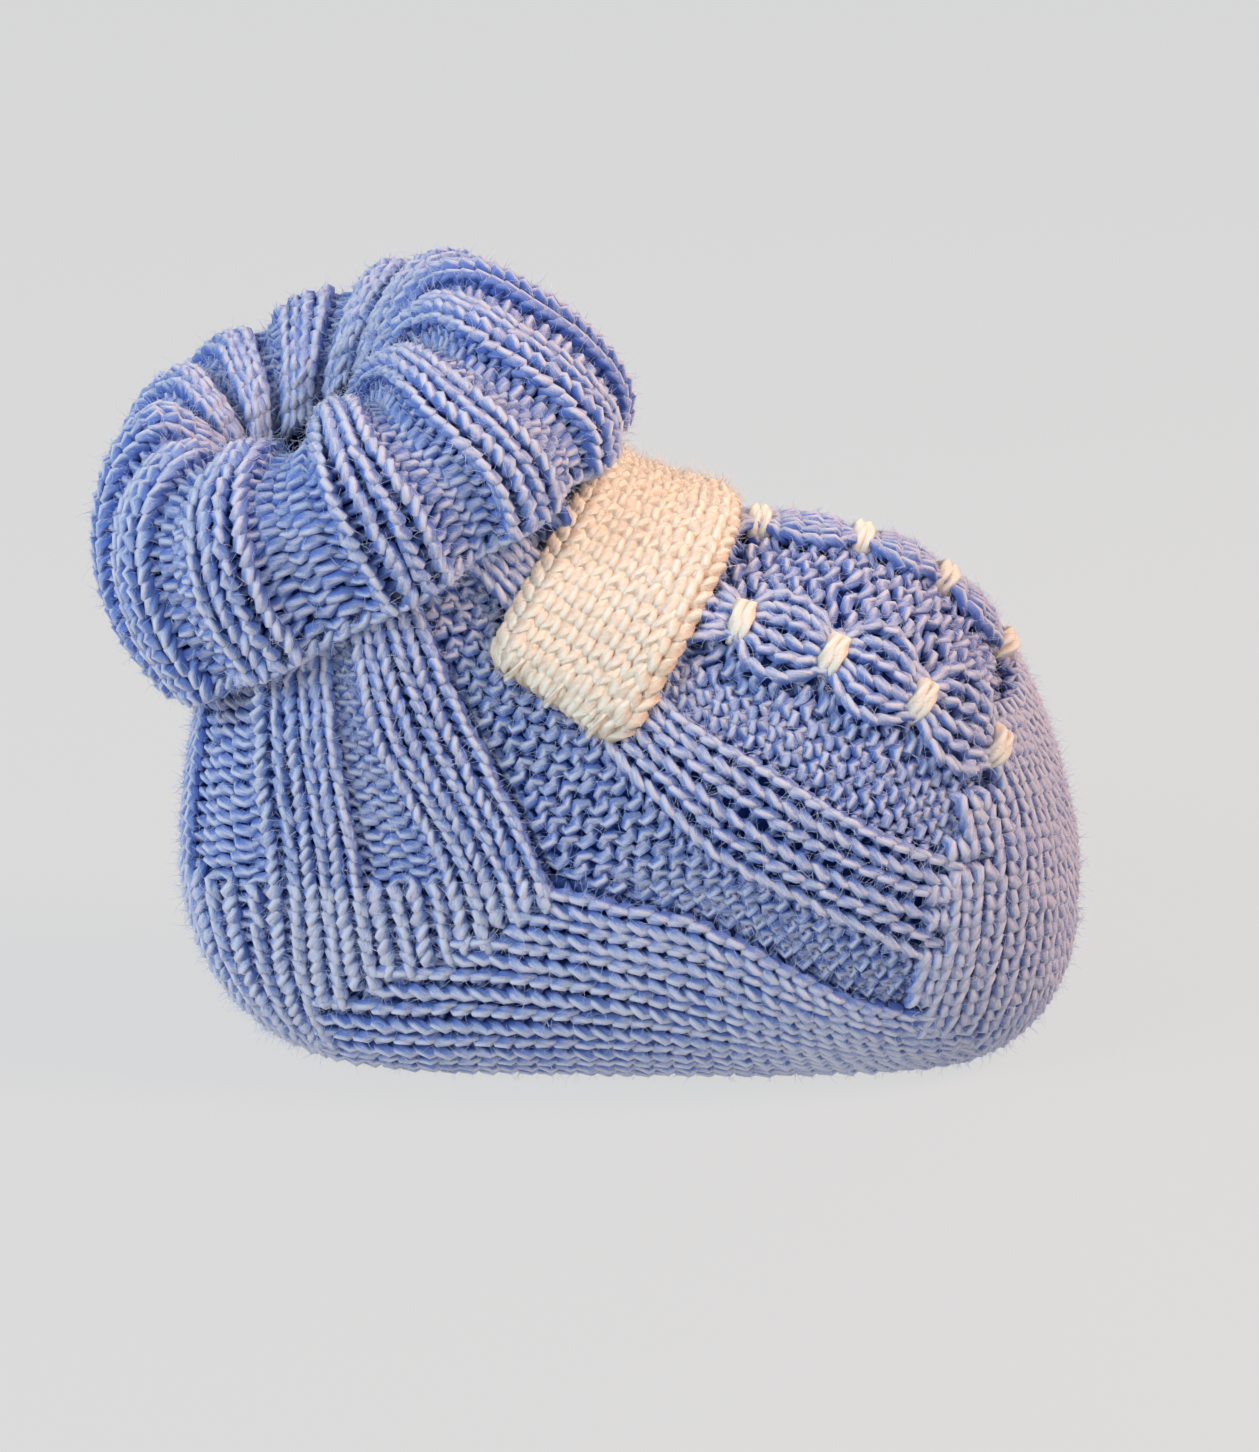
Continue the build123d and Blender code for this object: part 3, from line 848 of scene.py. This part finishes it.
PLEAT_START, PLEAT_RUN = 11, 6                      # rows over which they grow near and shrink far away
NEAR_GROWTH, FAR_LOSS = 0.8, 0.35


def cuff_point(level, turn):
    """Place on one of the cuff's level outlines, a turn of 0 being at the front."""
    front, back, half_width = CUFF_SECTIONS[level]
    front, back = np.array([front[0], 0.0, front[1]]), np.array([back[0], 0.0, back[1]])
    fullness = ROUND_FRONT if cos(turn) > 0 else ROUND_BACK
    forward = np.sign(cos(turn)) * abs(cos(turn)) ** fullness
    sideways = np.sign(sin(turn)) * abs(sin(turn)) ** fullness
    place = (front + back) / 2 + (front - back) / 2 * forward + np.array([0.0, half_width * sideways, 0.0])
    place[2] += CUFF_SLUMP[level] * (sin(turn) if sin(turn) < 0 else FAR_SLUMP * sin(turn))
    place[1] += CUFF_SLANT[level] * (place[0] - (front[0] + back[0]) / 2)
    return place


cuff_guides = [
    (column, [cuff_point(level, tau * column / CUFF_COLUMNS) for level in range(len(CUFF_SECTIONS))])
    for column in range(CUFF_COLUMNS + 1)
]
cuff = guided_patch(cuff_guides, CUFF_ROWS, finish=as_drawn)


def cuff_kind(column, row):
    """Ribbed k2 p2 all round."""
    return 1 if column % 4 < 2 else -1


def pleated(u, v, here):
    """Knit ribs spread and stand out, purl ribs close up and sink, most of all at the opening."""
    within = (u % 4) / 4 - 0.25
    near = 0.5 - 0.5 * np.sin(tau * u / CUFF_COLUMNS)
    grown = np.clip((v - PLEAT_START) / PLEAT_RUN, 0, 1)
    strength = PLEAT_HEIGHT + (NEAR_GROWTH * near - FAR_LOSS) * grown
    return PLEAT_SWAY * np.sin(tau * within), strength * np.cos(tau * within)


for name, rows, stands_for in (
    ("cuff_turn_down_knit", (0, OUTER_CUFF_ROWS), "cuff_turn_down"),
    ("cuff_inner_knit", (OUTER_CUFF_ROWS, CUFF_ROWS), "cuff_inner"),
):
    # shade gives the sunken purl ribs painted shade
    made, = knit(cuff, cuff_kind, name, blue_wool, rows=rows, seed=20 + rows[1], shift=pleated,
                 relief=0.35, depth=CUFF_DEPTH, radius=0.80, loop_depth=1.12, shade=0.55)
    placed(made, "blue_yarn", stands_for)

# the cast-off edge: two strands that twist round each other along the hem, once for each column
CHAIN_SWAY, CHAIN_HEIGHT, CHAIN_DEPTH = 0.12, 0.30, 0.75
edge = Yarn()
t = np.linspace(0, CUFF_COLUMNS, CUFF_COLUMNS * SAMPLES + 1)
for phase in (0.0, pi):
    across, out = np.sin(tau * t + phase), np.cos(tau * t + phase)
    u, v = t + CHAIN_SWAY * out, 0.10 + CHAIN_HEIGHT * across
    du, dz = pleated(u, v, None)
    base, normals = cuff.at((u + du) % CUFF_COLUMNS, v)
    z = CUFF_DEPTH + dz + CHAIN_DEPTH * out
    # lighter where a strand comes out and darker where it goes in: painted highlight and shade
    edge.add(base + normals * z[:, None], normals, 0.8 + 0.5 * out, taper=(False, False))
placed(edge.piece("cast_off_edge_knit", blue_wool), "blue_yarn", "cast_off_edge")

# ------------ linings
UNDER_HEM, WELL_UNDER_HEM = -4.0, -7.5  # where the linings of the leg and the instep end
CUFF_LINING_DEPTH, CUFF_LINING_START = -4.2, 3.5
STRAP_MARGIN, STRAP_TUCK = 1.5, 0.4     # beside the strap, and under its edges
CORNER_LENGTH, CORNER_WIDTH = 2.2, 2.0
STRAP_LINING_DEPTH, STRAP_LINING_THICKNESS = 0.4, 0.4


def leg_lining(places):
    return in_leg(places, LINING_OVERLAP) & (above_hem(places) < UNDER_HEM)


def sole_lining(places):
    return behind_mitre(places) < LINING_OVERLAP


def instep_lining(places):
    """Up to the strap's edges but, between strap and hem, no nearer than where it would show."""
    along, across = strap_place(places)
    clear = (np.abs(across) > STRAP_WIDTH / 2 - STRAP_TUCK) | (along < 2)
    beside_hem = (above_hem(places) > WELL_UNDER_HEM) & (np.abs(across) < STRAP_WIDTH / 2 + STRAP_MARGIN)
    return clear & ~beside_hem & (above_hem(places) < UNDER_HEM)


def strap_lining(places):
    """All but the strap's rounded corners."""
    along, across = strap_place(places)
    return (along > CORNER_LENGTH) | (np.abs(across) < STRAP_WIDTH / 2 - CORNER_WIDTH)


def cuff_lining(places):
    return above_hem(places) > CUFF_LINING_START


LININGS = (
    (leg, "leg_and_heel_fabric", leg_lining, pale_felt), (sole, "sole_fabric", sole_lining, pale_felt),
    (instep, "instep_fabric", instep_lining, shaded_blue_felt), (toe, "toe_fabric", None, pale_felt),
)
for patch, name, keep, material in LININGS:
    placed(lining(patch, name, material, keep=keep), "blue_yarn")
placed(lining(cuff, "cuff_fabric", shaded_blue_felt, depth=CUFF_LINING_DEPTH, keep=cuff_lining), "blue_yarn")
placed(lining(strap, "strap_fabric", shaded_cream_felt, depth=STRAP_LINING_DEPTH, keep=strap_lining,
              thickness=STRAP_LINING_THICKNESS), "cream_yarn")

# ------------ smocking ties and the strap's sewing
TIE_SPAN, TIE_RISE, TIE_YARN, TIE_POINTS = 2.3, 2.1, 0.86, 22
TIE_SINK = 0.7                          # a tie's middle lies this far under the fabric's surface
SEWING_YARN, SEWING_POINTS = 0.42, 18
SEWING_COLUMNS = (1.5, 4.0, 6.5)


def tie_strands(yarn, column, row, luck):
    """Two turns of yarn over a pinched rib, their ends going down into the fabric."""
    turn = np.linspace(-0.12 * pi, 1.12 * pi, TIE_POINTS)
    (centre, beyond), (normal, _) = instep.at(np.full(2, float(column)), np.array([row, row + 0.4]))
    ahead = unit(beyond - centre)
    side = np.cross(normal, ahead)
    for offset in (-0.55, 0.55):
        skew = luck.normal(0, 0.14)
        across = TIE_SPAN * np.cos(turn)
        up = TIE_RISE * np.sin(turn) - TIE_SINK
        along = offset + skew * np.cos(turn)
        path = centre + across[:, None] * side + up[:, None] * normal + along[:, None] * ahead
        facing = unit(np.cos(turn)[:, None] * side + np.sin(turn)[:, None] * normal)
        # lighter over the top of each turn and darker where it goes down: painted highlight and shade
        yarn.add(path, facing, np.full(len(path), 0.9) + 0.5 * np.sin(turn), TIE_YARN, tone=luck.random())


luck = np.random.default_rng(31)
for name, column in (("left", SIDE_LENS), ("centre", 0), ("right", -SIDE_LENS)):
    ties = Yarn()
    for row in tie_rows[abs(column)]:
        tie_strands(ties, column, row, luck)
    placed(ties.piece(f"smocking_ties_{name}_yarn", cream_wool), "cream_yarn", f"smocking_ties_{name}")

for name, end, inward in (("right", 0.0, 1.0), ("left", float(STRAP_ROWS), -1.0)):
    sewing = Yarn()
    for column in SEWING_COLUMNS:
        # from the fabric beside the strap, in rows, up over its end and down into it
        reach = np.linspace(-0.7, 1.1, SEWING_POINTS)
        u = np.full(SEWING_POINTS, column) + 0.12 * reach + luck.normal(0, 0.08)
        base, normals = strap.at(u, np.clip(end + inward * reach, 0, STRAP_ROWS))
        tip, within = strap.at(np.full(2, column), np.array([end, end + inward * 0.5]))[0]
        base = base + unit(tip - within) * (np.clip(-reach, 0, None) * 1.9)[:, None]
        z = STRAP_LIFT + 1.0 - 3.6 * np.clip(-reach - 0.1, 0, None) ** 1.2
        z -= 3.2 * np.clip(reach - 0.8, 0, None)
        sewing.add(base + normals * z[:, None], normals, np.full(SEWING_POINTS, 0.6), SEWING_YARN,
                   tone=luck.random())
    placed(sewing.piece(f"strap_stitches_{name}_yarn", cream_wool), "cream_yarn", f"strap_stitches_{name}")

# ------------ loose fibres
FIBRE_POINTS, FIBRE_SIDES, FIBRE_RADIUS, FIBRE_LENGTH = 3, 3, 0.030, 1.55
FIBRE_CURL, FIBRE_TAPER = 0.42, 0.55
OUTER_LEVEL = 0.2                       # fibres show only on yarn whose painted light level, which follows depth and facing out, is above this


def grown_points(sources):
    """Places and facings of the outer yarn of some pieces."""
    points, facings = [], []
    for name in sources:
        mesh = bpy.data.objects[name].data
        outer = read_all(mesh.attributes["height"].data, "value", 1)[:, 0] > OUTER_LEVEL
        points.append(read_all(mesh.vertices, "co")[outer] / MM)
        facings.append(read_all(mesh.vertex_normals, "vector")[outer])
    return np.concatenate(points), np.concatenate(facings)


def fuzz(name, sources, count, material, seed):
    """Short loose fibres standing out of the yarn, one thin closed tube each."""
    luck = np.random.default_rng(seed)
    points, facings = grown_points(sources)
    pick = luck.integers(0, len(points), count)
    aim = unit(facings[pick] * 0.55 + unit(luck.normal(0, 1, (count, 3))) * 0.85)
    curl = unit(np.cross(aim, luck.normal(0, 1, (count, 3))))
    reach = FIBRE_LENGTH * luck.uniform(0.5, 1.4, count)
    s = np.linspace(0, 1, FIBRE_POINTS)[None, :, None]
    bent = aim[:, None] * s + FIBRE_CURL * curl[:, None] * s * s
    path = points[pick][:, None] + reach[:, None, None] * bent
    third = np.cross(aim, curl)
    angles = np.arange(FIBRE_SIDES) * tau / FIBRE_SIDES
    ring = (np.cos(angles)[None, :, None] * curl[:, None] + np.sin(angles)[None, :, None] * third[:, None])
    size = FIBRE_RADIUS * (1 - FIBRE_TAPER * s)[..., None]
    verts = (path[:, :, None, :] + ring[:, None] * size).reshape(-1, 3) * MM
    starts = np.arange(count)[:, None, None] * FIBRE_POINTS * FIBRE_SIDES
    faces = (tube_faces(FIBRE_POINTS, FIBRE_SIDES)[None] + starts).reshape(-1, 4).tolist()
    foot = np.arange(FIBRE_SIDES)[None, ::-1] + starts[:, 0]
    tip = np.arange(FIBRE_SIDES)[None] + starts[:, 0] + (FIBRE_POINTS - 1) * FIBRE_SIDES
    mesh = bpy.data.meshes.new(name)
    mesh.from_pydata(verts.tolist(), [], faces + foot.tolist() + tip.tolist())
    mesh.shade_smooth()
    return shown(name, mesh, material)


# the fibres are paler than their yarns: painted highlight of light caught in the loose fibres
highlit_blue_fibre = felt("highlit_blue_fibre", (0.50, 0.58, 0.86), (0.82, 0.86, 0.97))
highlit_cream_fibre = felt("highlit_cream_fibre", (0.80, 0.72, 0.64), (0.98, 0.95, 0.90))
FUZZ = (
    ("cuff_outer_fuzz", ["cuff_turn_down_knit", "cast_off_edge_knit"], 13500, highlit_blue_fibre),
    ("cuff_inner_fuzz", ["cuff_inner_knit"], 7000, highlit_blue_fibre),
    ("leg_fuzz", ["leg_ribbing_knit"], 10000, highlit_blue_fibre),
    ("heel_fuzz", ["heel_cup_knit"], 9000, highlit_blue_fibre),
    ("sole_fuzz", ["foot_sole_knit"], 11000, highlit_blue_fibre),
    ("toe_fuzz", ["toe_cap_knit"], 11000, highlit_blue_fibre),
    ("instep_ribbing_fuzz", instep_names[::2], 11000, highlit_blue_fibre),
    ("smocked_vamp_fuzz", instep_names[1:2], 11000, highlit_blue_fibre),
    ("strap_fuzz", ["ankle_strap_knit"], 8000, highlit_cream_fibre),
)
for seed, (name, sources, count, material) in enumerate(FUZZ):
    yarn = "cream_yarn" if material is highlit_cream_fibre else "blue_yarn"
    placed(fuzz(name, sources, count, material, 50 + seed), yarn)

# ------------ floor, light and camera
FLOOR_LEVEL, FLOOR_HALF = -0.0006, 6    # metres, here and below
BACKDROP_RADIUS, BACKDROP_HEIGHT, BACKDROP_SIDES = 5.5, 0.9, 96

floor_material = material_with(
    "floor", Base_Color=(0.06, 0.06, 0.06, 1), Roughness=1.0, Specular_IOR_Level=0.0,
    Emission_Color=(1.0, 1.0, 1.0, 1), Emission_Strength=0.645)[0]


def staged(name, points, faces):
    """A pale part of the studio, which isn't part of the bootie."""
    mesh = bpy.data.meshes.new(name)
    mesh.from_pydata(points, [], faces)
    shown(name, mesh, floor_material)


corners = [(-1, -1), (1, -1), (1, 1), (-1, 1)]
staged("floor", [(x * FLOOR_HALF, y * FLOOR_HALF, FLOOR_LEVEL) for x, y in corners], [(0, 1, 2, 3)])
turns = np.arange(BACKDROP_SIDES) * tau / BACKDROP_SIDES
low_ring = [(BACKDROP_RADIUS * cos(turn), BACKDROP_RADIUS * sin(turn), FLOOR_LEVEL) for turn in turns]
staged("backdrop", low_ring + [(x, y, BACKDROP_HEIGHT) for x, y, _ in low_ring], [
    (i, (i + 1) % BACKDROP_SIDES, (i + 1) % BACKDROP_SIDES + BACKDROP_SIDES, i + BACKDROP_SIDES)
    for i in range(BACKDROP_SIDES)
])

world = bpy.data.worlds.new("studio")
bpy.context.scene.world = world
world.use_nodes = True
background = world.node_tree.nodes["Background"]
background.inputs["Color"].default_value = (0.80, 0.90, 1.0, 1)
background.inputs["Strength"].default_value = 0.50


def area_light(name, place, target, size, power, colour):
    """Round soft lamp aimed at the target; the size is its diameter and the power is in watts."""
    data = bpy.data.lights.new(name, "AREA")
    data.shape, data.size, data.energy, data.color = "DISK", size, power, colour
    made = bpy.data.objects.new(name, data)
    made.location = place
    aim = Vector(target) - Vector(place)
    made.rotation_euler = aim.to_track_quat("-Z", "Y").to_euler()
    bpy.context.scene.collection.objects.link(made)


area_light("key", (0.50, -0.10, 0.50), (0, 0, 0.04), 0.26, 4.6, (1.0, 0.62, 0.42))
area_light("fill", (-0.60, -0.45, 0.50), (0, 0, 0.05), 0.5, 4.6, (0.70, 0.86, 1.0))

CAMERA_ELEVATION, CAMERA_DISTANCE, CAMERA_LENS = radians(18), 0.60, 120.0
AIM = Vector((0.0026, 0.0, 0.0390))
camera_data = bpy.data.cameras.new("camera")
camera_data.lens = CAMERA_LENS
camera = bpy.data.objects.new("camera", camera_data)
camera.location = AIM + Vector((0, -cos(CAMERA_ELEVATION), sin(CAMERA_ELEVATION))) * CAMERA_DISTANCE
camera.rotation_euler = (AIM - camera.location).to_track_quat("-Z", "Y").to_euler()
bpy.context.scene.collection.objects.link(camera)
bpy.context.scene.camera = camera
bpy.context.scene.view_settings.view_transform = "Standard"
